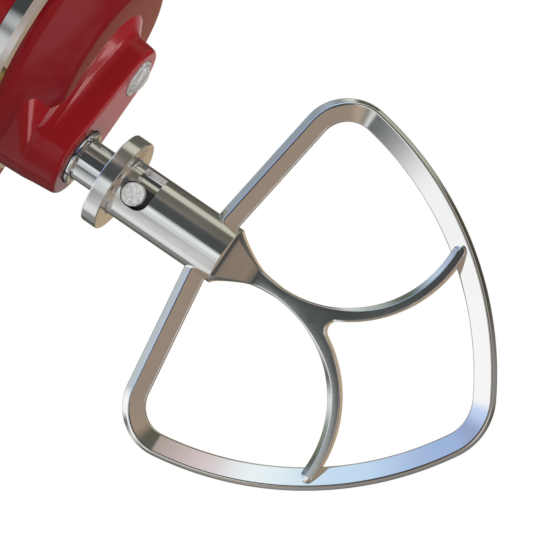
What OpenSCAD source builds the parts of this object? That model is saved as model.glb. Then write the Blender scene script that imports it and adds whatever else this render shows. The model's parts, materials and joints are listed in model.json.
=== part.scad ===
// Tilt-head stand mixer with a flat beater, drawn at rest with its head swung open.
// Millimetres, +Z up, nose towards -Y. The frame's origin is on the counter, under the middle of the box.
// The head and all that it carries are drawn in closed-head coordinates, where the planetary axis is
// X = 0, Y = 0, and head_open() then swings them about the hinge pin.

/* [Head] */
// Angle that the head swings back from closed to open
open_angle = 56; // [45:1:56]
// Height of the head's flat underside when closed
head_z = 268; // [266:1:270]
// Half width of the head at its widest
head_half_w = 54; // [54:1:56]
// Distance from the head's widest section forward to the nose
head_front = 158; // [156:1:160]
// Distance from the head's widest section back to the tail
head_back = 186; // [184:1:190]
// Height of the painted lower housing
gearcase_h = 34; // [34:1:36]
// Height of the upper shell above the lower housing
shell_h = 72; // [72:1:76]
// Wall of the head castings
head_wall = 3.2; // [2.8:0.1:3.4]

/* [Hinge] */
// Distance of the hinge pin behind the planetary axis
hinge_y = 182; // [182:1:184]
// Height of the hinge pin
hinge_z = 246; // [245:1:246]
// Radius of the head's round knuckle about the pin
knuckle_r = 26; // [25:0.5:26]
// Radius of the hinge pin
pin_r = 4.95; // [4.92:0.01:4.95]

/* [Stand] */
// Half width of the base plate
base_half_w = 100; // [98:1:102]
// Height of the base plate above the feet
base_h = 32; // [32:1:33]
// Height of the rubber feet
foot_h = 6; // [5:1:6]
// Half width of the column at its top
column_half_w = 44; // [44:1:46]

/* [Bowl] */
// Inner radius of the bowl at its rim
bowl_r = 113; // [113:1:114]
// Height of the bowl from its foot to its rim
bowl_h = 152; // [150:1:152]
// Thickness of the bowl's steel
bowl_t = 1.2; // [1:0.1:1.4]

/* [Planetary drive] */
// Distance from the planetary axis to the beater axis
orbit_r = 35; // [35:1:35]
// Angle of the beater axis about the planetary axis at rest, from straight back
orbit_angle = 12.7; // [0:0.1:20]
// Module of the ring gear, its pinion and the centre gear
gear_m = 1.25; // [1.25:0.05:1.25]
// Teeth of the fixed ring gear
ring_teeth = 72; // [72:1:72]
// Teeth of the beater shaft's pinion
planet_teeth = 16; // [16:1:16]

/* [Beater] */
// Distance from the collar's lower face to the beater's tip
tip_s = 152; // [150:1:152]
// Radius of the beater's tip
tip_r = 23; // [22:0.5:24]
// Place of the shoulder arc's centre along the shaft
shoulder_s = 58.5; // [58:0.5:59]
// Place of the shoulder arc's centre across the beater
shoulder_w = 53.5; // [53:0.5:54]
// Radius of the shoulder arc
shoulder_r = 18.5; // [18:0.5:19]
// Radius of the long side arc
side_r = 123; // [121:1:126]
// Slope of the straight top bars, away from the hub
bar_slope = 8.2; // [7:0.1:9]
// Width of the beater's frame
band_w = 8; // [7.5:0.1:8.4]
// Half depth of the beater's frame at its ridge
ridge_h = 4.6; // [4.2:0.1:5]
// Radius of the beater shaft
shaft_r = 8; // [8:0.1:8]
// Outer radius of the beater's hub barrel
barrel_r = 11; // [11:0.1:11.4]
// Radius of the hub's collar
collar_r = 17.8; // [17:0.1:18.5]

/* [Hidden] */
$fn = 48;

PAINT = "#8c0f16";
STEEL = "#c9ccd0";
DARK_STEEL = "#8a8d92";
BLACK = "#1b1b1d";
COPPER = "#b8733a";
BRASS = "#c9a24a";

gap = 0.4;                         // clearance between moving parts
run = 0.05;                        // radial clearance of a running fit
part_z = head_z + gearcase_h;      // parting plane of the head
head_top = part_z + shell_h;
section_y = 60;                    // where the head is widest
nose_y = -92;                      // flat face of the nose
tail_cut = 205;                    // where the rear cover starts
axis_z = part_z + 18;              // motor axis
ear_r = 20;                        // radius of the column's hinge ears
ear_x = 25;                        // inner face of the ears
skirt_r = 58;
ring_seat_r = 50.5;

collar_z = 214;                    // collar's lower face when the head is closed
planet_bottom = collar_z + 19.2;
planet_top = 266;
ring_z = 274;                      // underside of the ring gear and its pinion
gear_face = 10;
floor_z = 286;                     // underside of the gearcase floor
floor_t = 4;
centre_gear_z = 291;
pinion_face = 8;

bowl_seat = foot_h + base_h + 4;   // top of the clamp plate
bowl_foot_r = 48;
beater_x = -orbit_r * sin(orbit_angle);
beater_y = orbit_r * cos(orbit_angle);

base_front = 112;                  // the base's front edge, ahead of the planetary axis
origin_y = 82;                     // the frame's origin, behind the planetary axis

// ---------- outlines and lofts ----------
function sgn(v) = v < 0 ? -1 : 1;
function oval(a, front, back, yc, z, m, k = 48) =
    [for (i = [0:k - 1]) let (t = 360 * i / k, c = cos(t), s = sin(t))
        [a * sgn(c) * pow(abs(c), 2 / m), yc + (s < 0 ? front : back) * sgn(s) * pow(abs(s), 2 / m), z]];
function joined(lists) = [for (l = lists) each l];
function wall_faces(k, n, at) = joined([for (j = [0:n - 2], i = [0:k - 1])
    let (a = at + j * k + i, b = at + j * k + (i + 1) % k, c = a + k, d = b + k) [[a, c, d], [a, d, b]]]);
function flip(faces) = [for (f = faces) [f[2], f[1], f[0]]];

// A solid through a stack of rings, listed upwards.
module loft(rings) {
    k = len(rings[0]);
    n = len(rings);
    polyhedron(joined(rings), concat([[for (i = [0:k - 1]) i]], wall_faces(k, n, 0),
        [[for (i = [k - 1:-1:0]) (n - 1) * k + i]]), convexity = 6);
}

// A cap with an open foot: an outer and an inner stack of rings, listed upwards from the open end.
module cap_shell(outer, inner) {
    k = len(outer[0]);
    n = len(outer);
    m = len(inner);
    foot = n * k;
    polyhedron(joined(concat(outer, inner)), concat(
        wall_faces(k, n, 0), [[for (i = [k - 1:-1:0]) (n - 1) * k + i]],
        flip(wall_faces(k, m, foot)), [[for (i = [0:k - 1]) foot + (m - 1) * k + i]],
        joined([for (i = [0:k - 1]) let (j = (i + 1) % k) [[i, j, foot + j], [i, foot + j, foot + i]]])),
        convexity = 8);
}

module x_rod(r, x0, x1) { translate([x0, 0, 0]) rotate([0, 90, 0]) cylinder(r = r, h = x1 - x0); }
module y_rod(r, y0, y1) { translate([0, y0, 0]) rotate([-90, 0, 0]) cylinder(r = r, h = y1 - y0); }
module z_rod(r, z0, z1) { translate([0, 0, z0]) cylinder(r = r, h = z1 - z0); }
module tube(r, bore, h) difference() {
    cylinder(r = r, h = h);
    translate([0, 0, -1]) cylinder(r = bore, h = h + 2);
}
module box(x0, x1, y0, y1, z0, z1) { translate([x0, y0, z0]) cube([x1 - x0, y1 - y0, z1 - z0]); }
module screw_head(r, h) {
    difference() { cylinder(r = r, h = h); translate([0, 0, h - 1]) cylinder(r = r * 0.5, h = 2, $fn = 6); }
}

// ---------- frames ----------
module placed() { translate([0, -origin_y, 0]) children(); }
module head_open() {
    placed() translate([0, hinge_y, hinge_z]) rotate([-open_angle, 0, 0])
        translate([0, -hinge_y, -hinge_z]) children();
}
module at_beater() { translate([beater_x, beater_y, 0]) children(); }
// Local X runs down the shaft from the collar's lower face, local Y across to the nose, local Z to the left.
module beater_frame() {
    multmatrix([[0, 0, -1, beater_x], [0, -1, 0, beater_y], [-1, 0, 0, collar_z], [0, 0, 0, 1]]) children();
}

// ---------- gears ----------
pressure = 20;
function inv(a) = tan(a) * 180 / PI - a;
// Half angle of a tooth at radius r, for pitch radius p and a tooth thinned by slack.
function half_tooth(r, p, n, slack) =
    let (base = p * cos(pressure), q = max(r, base))
    90 / n - slack * 90 / (PI * p) + inv(pressure) - inv(acos(base / q));
function gear_points(n, m, add, ded, slack, from = 0) =
    let (p = n * m / 2, lo = p - ded, hi = p + add, rs = [lo, p - ded * 0.45, p, p + add * 0.55, hi])
    [for (i = [0:n - 1]) each concat(
        [for (r = rs) let (a = from + 360 * i / n - half_tooth(r, p, n, slack)) [r * cos(a), r * sin(a)]],
        [for (j = [4:-1:0]) let (r = rs[j], a = from + 360 * i / n + half_tooth(r, p, n, slack))
            [r * cos(a), r * sin(a)]])];
module gear(n, m, h, bore, add = 0.9, ded = 1.2, slack = 0.2, from = 0) {
    difference() {
        linear_extrude(height = h) polygon(gear_points(n, m, add * m, ded * m, slack, from));
        translate([0, 0, -1]) cylinder(r = bore, h = h + 2);
    }
}

// ---------- stand ----------
function base_ring(inset, z) = oval(base_half_w - inset, base_front + 72 - inset, 160 - inset, 72, z, 2.7);
column_y = 176;
function column_ring(w, front, back, z) = oval(w, front, back, column_y, z, 3.2);

foot_places = [[-60, -66], [60, -66], [-64, 188], [64, 188], [0, origin_y]];
module base_casting() color(PAINT) placed() {
    z0 = foot_h;
    top = foot_h + base_h;
    difference() {
        cap_shell(
            [base_ring(3, z0), base_ring(0, z0 + 5), base_ring(0, z0 + 14), base_ring(3, top - 9),
                base_ring(9, top - 3), base_ring(17, top)],
            [base_ring(8, z0), base_ring(6, z0 + 14), base_ring(22, top - 5)]);
        z_rod(60, top - 2, top + 1);
        for (a = [30:120:270]) rotate(a) translate([40, 0, 0]) z_rod(2.1, top - 8, top + 1);
        for (x = [-26, 26], y = [150, 205]) translate([x, y, 0]) z_rod(3.1, top - 8, top + 1);
    }
    for (x = [-26, 26], y = [150, 205]) translate([x, y, z0 + 1]) tube(6, 3.1, base_h - 4);
    for (p = foot_places) translate([p[0], p[1], z0]) difference() {
        cylinder(r = 11, h = base_h - 4.5);
        translate([0, 0, -1]) cylinder(r = 5, h = 4.02);
    }
}

module column() color(PAINT) placed() {
    z0 = foot_h + base_h;
    w = column_half_w;
    zt = head_z - 3;
    difference() {
        union() {
            cap_shell(
                [column_ring(w + 20, 62, 52, z0 + 0.02), column_ring(w + 15, 56, 48, z0 + 8),
                    column_ring(w + 9, 50, 46, z0 + 28), column_ring(w + 4, 46, 45, z0 + 70),
                    column_ring(w, 44, 44, z0 + 130), column_ring(w - 1, 43, 43, zt - 18),
                    column_ring(w - 3, 41, 41, zt - 4), column_ring(w - 6, 37, 37, zt)],
                [column_ring(w + 15, 57, 47, z0 + 0.02), column_ring(w + 10, 51, 43, z0 + 8),
                    column_ring(w + 4, 45, 41, z0 + 28), column_ring(w - 1, 41, 40, z0 + 70),
                    column_ring(w - 5, 39, 39, z0 + 130), column_ring(w - 6, 38, 38, hinge_z - 42)]);
            for (x = [-26, 26], y = [150, 205]) translate([x, y, 0]) z_rod(6, z0 + 0.02, z0 + 18);
            for (y = [150, 205]) box(-column_half_w - 10, column_half_w + 10, y - 2.5, y + 2.5, z0 + 0.02, z0 + 12);
        }
        // the knuckle's saddle, the slopes that clear the head half open and open, and the way for its back
        translate([0, hinge_y, hinge_z]) x_rod(knuckle_r + 1, -ear_x, ear_x);
        for (part = [0.5, 1]) translate([0, hinge_y, hinge_z]) rotate([-open_angle * part, 0, 0])
            box(-90, 90, -20, 90, ear_r + 1, 90);
        translate([0, hinge_y, hinge_z]) box(-ear_x, ear_x, 0, 90, -10, 90);
        translate([0, hinge_y, hinge_z]) x_rod(pin_r + run, -90, 90);
        translate([w - 9, hinge_y, hinge_z - 30]) z_rod(2, 0, 60);
        translate([0, hinge_y - 36, 0]) z_rod(3, zt - 26, zt + 10);
        for (x = [-26, 26], y = [150, 205]) translate([x, y, 0]) z_rod(2.5, z0 - 1, z0 + 14);
    }
}

module base_screws() color(DARK_STEEL) placed()
    for (x = [-26, 26], y = [150, 205]) translate([x, y, 0]) {
        z_rod(2.5, foot_h + 1, foot_h + base_h + 13);
        translate([0, 0, foot_h + 1]) mirror([0, 0, 1]) screw_head(5, 2.6);
    }

module rubber_feet() color(BLACK) placed()
    for (p = foot_places) translate([p[0], p[1], 0]) {
        cylinder(r = 11, h = foot_h);
        z_rod(5, foot_h, foot_h + 3);
    }

module bowl_clamp_plate() color(STEEL) placed() translate([0, 0, foot_h + base_h - 2]) difference() {
    union() {
        cylinder(r = 59.5, h = 6);
        tube(59.5, 51, 11);
    }
    for (a = [30:120:270]) rotate(a) translate([40, 0, -1]) cylinder(r = 2.2, h = 9);
    for (a = [0:120:240]) rotate(a + 60) translate([0, -9, 6]) cube([80, 18, 8]);
}

module clamp_screws() color(DARK_STEEL) placed()
    for (a = [30:120:270]) rotate(a) translate([40, 0, 0]) {
        z_rod(2, foot_h + base_h - 7, bowl_seat);
        translate([0, 0, bowl_seat]) screw_head(4, 1.6);
    }

module hinge_pin() color(STEEL) placed() translate([0, hinge_y, hinge_z]) {
    x_rod(pin_r, -column_half_w + 0.5, column_half_w - 0.5);
    x_rod(7, column_half_w + 0.2, column_half_w + 2);
    x_rod(pin_r, column_half_w - 1, column_half_w + 1);
    x_rod(7, -column_half_w - 2, -column_half_w - 0.2);
    x_rod(pin_r, -column_half_w - 1, -column_half_w + 1);
}

module hinge_set_screw() color(DARK_STEEL) placed()
    translate([column_half_w - 9, hinge_y, hinge_z]) z_rod(2, -16, -pin_r - 0.02);

module height_screw() color(STEEL) placed() translate([0, hinge_y - 36, 0]) {
    z_rod(2.9, head_z - 28, head_z - 4);
    translate([0, 0, head_z - 3]) screw_head(5, 2.4);
}

// ---------- bowl ----------
// Points [radius, height above the seat] of the bowl's inside, from the middle to the rim.
bowl_inside = [[0, 13], [30, 14], [44, 17], [56, 23], [68, 32.5], [80, 45], [90, 58.5], [98.5, 74],
    [104.5, 90], [108.5, 106], [111, 122], [112.4, 137], [bowl_r, bowl_h]];
module bowl() color(STEEL) placed() translate([0, 0, bowl_seat + 0.05]) {
    n = len(bowl_inside);
    rotate_extrude($fn = 96) polygon(concat(bowl_inside,
        [[bowl_r + 3.4, bowl_h], [bowl_r + 4, bowl_h - 1.2], [bowl_r + 3.2, bowl_h - 2.4], [bowl_r + 1, bowl_h - 2.6]],
        [for (i = [n - 2:-1:1]) [bowl_inside[i][0] + bowl_t, bowl_inside[i][1] - bowl_t * 0.8]],
        [[bowl_foot_r + 1, 10], [bowl_foot_r + 0.6, 0], [bowl_foot_r - 1, 0], [bowl_foot_r - 1.2, 9],
            [30, 12.6], [0, 11.8]]));
}

handle_angle = 270;
handle_w = 18;
handle_t = 4;
handle_out = 156;
handle_low = 62;
handle_high = 142;
// The loop's outline seen from the side, drawn in by inset.
module handle_outline(inset) {
    r = 22 - inset;
    low = handle_low + inset;
    high = handle_high - inset;
    out = handle_out - inset;
    polygon(concat([[70, low]],
        [for (a = [-75:15:0]) [out - r + r * cos(a), low + r + r * sin(a)]],
        [for (a = [0:15:75]) [out - r + r * cos(a), high - r + r * sin(a)]],
        [[70, high]]));
}
module bowl_handle() color(STEEL) placed() rotate(handle_angle) translate([0, 0, bowl_seat]) difference() {
    translate([0, handle_w / 2, 0]) rotate([90, 0, 0]) linear_extrude(height = handle_w) difference() {
        handle_outline(0);
        handle_outline(handle_t);
    }
    rotate_extrude($fn = 96) polygon(concat([for (p = bowl_inside) [p[0] + bowl_t + 0.05, p[1] - bowl_t * 0.8]],
        [[0, bowl_h], [0, 0]]));
}

// ---------- head castings ----------
function head_ring(grow, t, z) = let (k = pow(1 - pow(t, 2.3), 1 / 2.3), f = pow(1 - pow(t, 3), 1 / 3))
    oval((head_half_w + grow) * k, (head_front + grow) * f, (head_back + grow) * k, section_y, z, 3);
shell_steps = [0, 0.2, 0.4, 0.56, 0.7, 0.82, 0.91, 0.965, 0.992];
module upper_shell() {
    difference() {
        cap_shell([for (t = shell_steps) head_ring(0, t, part_z + 0.02 + t * shell_h)],
            [for (t = shell_steps) head_ring(-head_wall, t, part_z + 0.02 + t * (shell_h - head_wall))]);
        box(-60, 60, nose_y - 20, nose_y, part_z - 20, head_top);
    }
}
brush_y = 158;
speed_y = 184;
speed_z = part_z + 12;
gland_z = part_z + 14;
gland_y = 245.6;
function lower_ring(inset, z) = oval(head_half_w - inset, head_front - inset, head_back - inset, section_y, z, 3);

hub_r = 17.5;
hub_floor_y = nose_y + 22;          // back of the hub's bore
hub_z = axis_z;
module gearcase() color(PAINT) head_open() {
    z1 = part_z;
    difference() {
        union() {
            translate([0, 0, z1]) mirror([0, 0, 1]) cap_shell(
                [lower_ring(0, 0), lower_ring(0, gearcase_h - 12), lower_ring(2.2, gearcase_h - 5),
                    lower_ring(5.5, gearcase_h - 1.4), lower_ring(9, gearcase_h)],
                [lower_ring(head_wall, 0), lower_ring(head_wall, gearcase_h - 12),
                    lower_ring(9, gearcase_h - head_wall)]);
            z_rod(skirt_r, head_z, floor_z + floor_t);
            translate([0, hinge_y, hinge_z]) x_rod(knuckle_r, -ear_x + gap + 0.2, ear_x - gap - 0.2);
            box(-ear_x + 0.6, ear_x - 0.6, hinge_y - 18, hinge_y + knuckle_r - 4, head_z - 4, head_z + 4);
        }
        z_rod(ring_seat_r, head_z - 1, floor_z);
        z_rod(12, floor_z - 1, floor_z + floor_t + 1);
        translate([0, hinge_y, hinge_z]) x_rod(pin_r + run, -60, 60);
        box(40, 70, 128, 152, head_z + 12, head_z + 19);
        box(-60, 60, nose_y - 20, nose_y, head_z - 2, z1 + 2);
        translate([0, 0, hub_z]) y_rod(hub_r + 6.2, nose_y - 20, nose_y + 40);
        translate([0, hinge_y, hinge_z + 22]) box(-20, 20, -14, 14, 0.5, 3);
    }
}

module motor_housing() color(PAINT) head_open() difference() {
    upper_shell();
    box(-90, 90, tail_cut - 0.2, 300, part_z - 5, head_top + 5);
    translate([0, 0, hub_z]) y_rod(hub_r + 6.2, nose_y - 20, nose_y + 40);
    for (s = [-1, 1]) translate([0, brush_y, axis_z]) x_rod(7.2, min(s * 30, s * 80), max(s * 30, s * 80));
    box(-70, -38, speed_y - 24, speed_y + 8, speed_z - 3, speed_z + 3);
    translate([0, nose_y + 20, hub_z]) x_rod(4.1, 0, 80);
}

module rear_cover() color(PAINT) head_open() difference() {
    upper_shell();
    box(-90, 90, -150, tail_cut + 0.2, part_z - 5, head_top + 5);
    for (i = [-3:3]) translate([i * 8, 0, part_z + 26]) box(-1.6, 1.6, 210, 300, 0, 18);
    translate([0, 0, gland_z]) y_rod(5.1, 220, 300);
}

module cover_screws() color(STEEL) head_open() {
    for (x = [-34, 34]) translate([x, section_y + 100, 0]) z_rod(2.5, head_z + 3.4, part_z + 8);
    for (x = [-30, 30]) translate([x, -10, 0]) z_rod(2.5, floor_z + floor_t + 0.02, part_z + 10);
}

module trim_outline(out)
    polygon([for (p = oval(head_half_w + out, head_front + out, head_back + out, section_y, 0, 3, 96)) [p[0], p[1]]]);
module trim_band() color(STEEL) head_open() difference() {
    translate([0, 0, part_z - 3]) linear_extrude(height = 6)
        trim_outline(1.4);
    translate([0, 0, part_z - 4]) linear_extrude(height = 8)
        trim_outline(0.02);
    box(-90, 90, -150, nose_y, part_z - 5, part_z + 5);
}

module drip_ring() color(STEEL) head_open() translate([0, 0, head_z - 7]) rotate_extrude($fn = 96)
    polygon([[53, 0], [57.5, 0], [59.6, 2], [59.6, 7], [skirt_r + 0.1, 7], [skirt_r + 0.1, 6.98], [53, 6.98]]);

// ---------- gear train ----------
centre_teeth = 42;
lay_teeth = 14;
worm_teeth = 30;
lay_x = 25;
lay_y = sqrt(pow((centre_teeth + lay_teeth) * gear_m / 2, 2) - lay_x * lay_x);
lay_angle = atan2(lay_y, lay_x);
worm_r = lay_x - worm_teeth * gear_m / 2;
worm_lead = PI * gear_m;
wheel_z = axis_z - 4;

module ring_gear() color(DARK_STEEL) head_open() translate([0, 0, ring_z]) difference() {
    cylinder(r = ring_seat_r - 0.02, h = gear_face);
    translate([0, 0, -1]) linear_extrude(height = gear_face + 2)
        polygon(gear_points(ring_teeth, gear_m, 1.2 * gear_m, 0.85 * gear_m, -0.2, 90 + orbit_angle));
}
module planet_pinion() color(DARK_STEEL) head_open() at_beater() translate([0, 0, ring_z + 0.5])
    gear(planet_teeth, gear_m, gear_face - 1, 5, from = 90 + orbit_angle);
module centre_gear() color(DARK_STEEL) head_open() translate([0, 0, centre_gear_z])
    gear(centre_teeth, gear_m, pinion_face, 8, from = lay_angle);
module layshaft_pinion() color(DARK_STEEL) head_open() translate([lay_x, lay_y, centre_gear_z - 0.5])
    gear(lay_teeth, gear_m, pinion_face + 1, 4, from = lay_angle + 180 + 180 / lay_teeth);
module worm_wheel() color("#e8e2d0") head_open() translate([lay_x, lay_y, wheel_z])
    gear(worm_teeth, gear_m, 8, 4, add = 0.7, from = 180 + 180 / worm_teeth);
module layshaft() color(STEEL) head_open() translate([lay_x, lay_y, 0]) z_rod(4, floor_z + floor_t + 0.3, axis_z + 12);
module centre_bevel_gear() color(DARK_STEEL) head_open() difference() {
    translate([0, 0, hub_z - 11.25]) linear_extrude(height = 3.4, scale = 1 - 3.4 / 11.25)
        polygon(gear_points(30, 1.5, 0.4, 2.2, 1, 270));
    z_rod(5, hub_z - 20, hub_z);
}
module hub_bevel_gear() color(DARK_STEEL) head_open() translate([0, -22.5, hub_z]) rotate([-90, 0, 0]) difference() {
    linear_extrude(height = 6.6, scale = 1 - 6.6 / 22.5)
        polygon(gear_points(15, 1.5, 0.35, 1.7, 1, 90 + 180 / 15));
    z_rod(4, -1, 10);
}
module centre_shaft() color(STEEL) head_open() {
    z_rod(6.9, planet_bottom + 0.3, planet_bottom + 2.3);
    z_rod(8, planet_bottom + 2.2, centre_gear_z + pinion_face);
    z_rod(5, centre_gear_z + pinion_face - 1, hub_z - 8.5);
}
module centre_bush() color(BRASS) head_open() translate([0, 0, floor_z - 4]) difference() {
    cylinder(r = 11.98, h = 8.4);
    z_rod(8 + run, -1, 10);
}
// The thread's outline in a slice across the worm: a lobe that the twist winds into a thread.
worm_root = worm_r - 1.2 * gear_m;
worm_tip = worm_r + 0.75 * gear_m;
function worm_radius(a) = let (q = abs(a > 180 ? a - 360 : a))
    q < 34 ? worm_tip : q > 96 ? worm_root : worm_tip + (worm_root - worm_tip) * (q - 34) / 62;
worm_len = 26;
module worm() color(STEEL) head_open() translate([0, lay_y - worm_len / 2, axis_z]) rotate([-90, 0, 0])
    difference() {
        rotate(360 * worm_len / 2 / worm_lead) linear_extrude(height = worm_len, twist = 360 * worm_len / worm_lead,
            slices = 80, $fn = 12)
            polygon([for (i = [0:11]) let (a = i * 30) worm_radius(a) * [cos(a), sin(a)]]);
        z_rod(3.5, -1, worm_len + 1);
    }
module layshaft_bracket() color(DARK_STEEL) head_open() {
    z1 = axis_z + 6;
    difference() {
        union() {
            box(lay_x - 7, lay_x + 7, lay_y - 7, lay_y + 26.5, z1, z1 + 5);
            box(lay_x - 7, lay_x + 7, lay_y + 20.8, lay_y + 26.5, floor_z + floor_t + 0.02, z1 + 1);
        }
        translate([lay_x, lay_y, 0]) z_rod(4 + run, z1 - 1, z1 + 7);
    }
}

// ---------- motor ----------
core_y = 94;
core_len = 46;
module motor_shaft() color(STEEL) head_open() translate([0, 0, axis_z]) y_rod(3.5, lay_y - 16, 197);
module armature() color(DARK_STEEL) head_open() translate([0, core_y, axis_z]) rotate([-90, 0, 0]) difference() {
    cylinder(r = 22, h = core_len);
    z_rod(3.5, -1, core_len + 1);
    for (a = [0:30:330]) rotate(a) translate([18.6, -1.2, -1]) cube([5, 2.4, core_len + 2]);
}
module commutator() color(COPPER) head_open() translate([0, brush_y - 8, axis_z]) rotate([-90, 0, 0]) tube(12, 3.5, 16);
module cooling_fan() color(BLACK) head_open() translate([0, 70, axis_z]) rotate([-90, 0, 0]) {
    tube(10, 3.5, 12);
    tube(36, 9.9, 1.6);
    for (a = [0:40:320]) rotate(a) translate([9.5, -0.8, 1.5]) cube([26, 1.6, 9]);
}
module stator_core() color(DARK_STEEL) head_open() translate([0, core_y, axis_z]) rotate([-90, 0, 0]) difference() {
    cylinder(r = 40, h = core_len);
    z_rod(22.8, -1, core_len + 1);
    for (s = [-1, 1]) translate([-15, s * 31 - 5, -1]) cube([30, 10, core_len + 2]);
}
module stator_windings() color(COPPER) head_open() translate([0, core_y, axis_z]) rotate([-90, 0, 0])
    for (s = [-1, 1]) translate([-14.6, s * 31 - 4.6, -5]) cube([29.2, 9.2, core_len + 10]);
module bearing(y) { translate([0, y, axis_z]) rotate([-90, 0, 0]) tube(11, 3.5 + run, 7); }
module front_bearing() color(STEEL) head_open() { bearing(50); bearing_web(52, 4, 43); }
module rear_bearing() color(STEEL) head_open() { bearing(188); bearing_web(190.5, 3, 39.9); }
module bearing_web(y, t, w) {
    difference() {
        translate([0, y, axis_z]) for (s = [-1, 1]) box(min(s * 10.5, s * w), max(s * 10.5, s * w), 0, t, -6, 6);
        translate([0, 0, axis_z]) y_rod(10.9, y - 1, y + t + 1);
    }
}
module brush_holders() color(BRASS) head_open() for (s = [0, 1]) translate([0, brush_y, axis_z]) rotate([0, 0, 180 * s])
    difference() { x_rod(5.5, 14, 46); box(10, 50, -3.05, 3.05, -3.05, 3.05); }
module carbon_brushes() color(BLACK) head_open()
    for (s = [0, 1]) translate([0, brush_y, axis_z]) rotate([0, 0, 180 * s]) box(12.05, 28, -3, 3, -3, 3);
module brush_caps() color(BLACK) head_open()
    for (s = [0, 1]) translate([0, brush_y, axis_z]) rotate([0, 0, 180 * s]) difference() {
        union() { x_rod(7, 46.1, 51); x_rod(7.8, 51, 53.2); }
        box(52.2, 55, -9, 9, -0.9, 0.9);
    }
module control_board() color("#2f5d3a") head_open() {
    box(-26, 34, 199, 201, part_z - 12, part_z + 30);
    box(8, 26, 201, 212, part_z, part_z + 14);
}
module cord_gland() color(BLACK) head_open() translate([0, 0, gland_z]) difference() {
    union() { y_rod(5, 236, 246); y_rod(7.5, gland_y, gland_y + 7); }
    y_rod(3.2, 230, 260);
}

// ---------- planetary ----------
// The outline round the centre shaft and the beater shaft: two circles and their common tangents.
function bridge_ring(centre_r, lobe_r, z, k = 64) =
    [for (i = [0:k - 1]) let (n = [cos(360 * i / k), sin(360 * i / k)], far = n * [beater_x, beater_y] + lobe_r)
        far > centre_r ? [beater_x + lobe_r * n[0], beater_y + lobe_r * n[1], z]
            : [centre_r * n[0], centre_r * n[1], z]];
// Heights above the planetary's lower face, with the radii round its centre and round the beater shaft.
bridge_steps = [[0, 8.6, 12.8], [0.7, 10, 14.6], [2.2, 11.2, 16], [4.5, 12, 16.7], [9.5, 13, 17],
    [12, 17, 17.4], [16, 27, 17.8], [24, 46, 18]];
centre_recess_r = 7.6;
module planetary_housing() color(PAINT) head_open() difference() {
    union() {
        loft([for (b = bridge_steps) bridge_ring(b[1], b[2], planet_bottom + b[0])]);
        translate([0, 0, planet_bottom + 12]) cylinder(r1 = 32, r2 = 52.2, h = 12.8, $fn = 96);
        z_rod(52.2, planet_bottom + 24.8, planet_top);
        z_rod(49, planet_top - 0.01, planet_top + 5);
    }
    z_rod(8 + 0.02, planet_bottom + 2, planet_top + 10);
    z_rod(centre_recess_r, planet_bottom - 1, planet_bottom + 2.01);
    at_beater() z_rod(11, planet_bottom - 1, planet_top + 10);
    translate([0, 0, planet_bottom + 14]) y_rod(2, -30, 0);
}
module drive_pin() color(DARK_STEEL) head_open() translate([0, 0, planet_bottom + 14]) y_rod(1.96, -24, -8.05);
module beater_bush() color(BRASS) head_open() at_beater() translate([0, 0, planet_bottom + 4]) difference() {
    cylinder(r = 10.98, h = planet_top - planet_bottom - 3);
    z_rod(shaft_r + run, -1, 50);
}
module shaft_seal() color(BLACK) head_open() at_beater() translate([0, 0, planet_bottom - 0.3]) difference() {
    cylinder(r = 10.9, h = 4);
    z_rod(shaft_r + run, -1, 6);
}
module retaining_ring() color(STEEL) head_open() at_beater() translate([0, 0, planet_bottom - 1.6]) difference() {
    cylinder(r = 9.4, h = 1.2);
    z_rod(shaft_r, -1, 3);
    box(-20, 0, -4.5, 4.5, -1, 3);
}
beater_pin_s = 6.2;
beater_pin_r = 4.1;
module beater_shaft() color(STEEL) head_open() difference() {
    at_beater() {
        z_rod(shaft_r, collar_z - 28, planet_top + 6);
        z_rod(5, planet_top + 5, ring_z + gear_face + 1);
    }
    beater_frame() translate([beater_pin_s, 0, -0.02]) cylinder(r = beater_pin_r + 0.02, h = 20);
}
module beater_pin() color(STEEL) head_open() beater_frame() translate([beater_pin_s, 0, 0]) {
    cylinder(r = beater_pin_r, h = barrel_r + 0.4);
    translate([0, 0, barrel_r + 0.3]) cylinder(r1 = beater_pin_r, r2 = beater_pin_r - 0.6, h = 0.6);
}

// ---------- flat beater ----------
// Centre of the long side arc: it touches the tip arc and the shoulder arc from outside.
tip_c = [tip_s - tip_r, 0];
shoulder_c = [shoulder_s, shoulder_w];
arc_gap = norm(shoulder_c - tip_c);
arc_a = side_r - tip_r;
arc_b = side_r - shoulder_r;
arc_x = (arc_a * arc_a - arc_b * arc_b + arc_gap * arc_gap) / (2 * arc_gap);
arc_u = (shoulder_c - tip_c) / arc_gap;
side_c = tip_c + arc_x * arc_u - sqrt(arc_a * arc_a - arc_x * arc_x) * [arc_u[1], -arc_u[0]];
function heading(v) = atan2(v[1], v[0]);
tip_end = heading(tip_c - side_c);
side_end = heading(shoulder_c - side_c);
bar_dir = 180 - bar_slope;
// A station of the frame: [outer point, angle of the outward normal, distance of the ridge from the outer edge].
function arc_stations(c, r, a0, a1, n, e0, e1) =
    [for (i = [0:n - 1]) let (a = a0 + (a1 - a0) * i / n) [c + r * [cos(a), sin(a)], a, e0 + (e1 - e0) * i / n]];
bar_out = shoulder_c + shoulder_r * [cos(bar_dir), sin(bar_dir)];
bar_in_w = 6;
bar_in = [bar_out[0] - (bar_out[1] - bar_in_w) * tan(bar_slope), bar_in_w];
ridge_side = 1.3;
ridge_bar = 3;
half_frame = concat(
    arc_stations(tip_c, tip_r, 0, tip_end, 5, ridge_side, ridge_side),
    arc_stations(side_c, side_r, tip_end, side_end, 16, ridge_side, ridge_side),
    arc_stations(shoulder_c, shoulder_r, side_end, bar_dir, 10, ridge_side, ridge_bar),
    [[bar_out, bar_dir, ridge_bar], [bar_in, bar_dir, ridge_bar]]);
function mirrored(st) = [[st[0][0], -st[0][1]], -st[1], st[2]];
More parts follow.
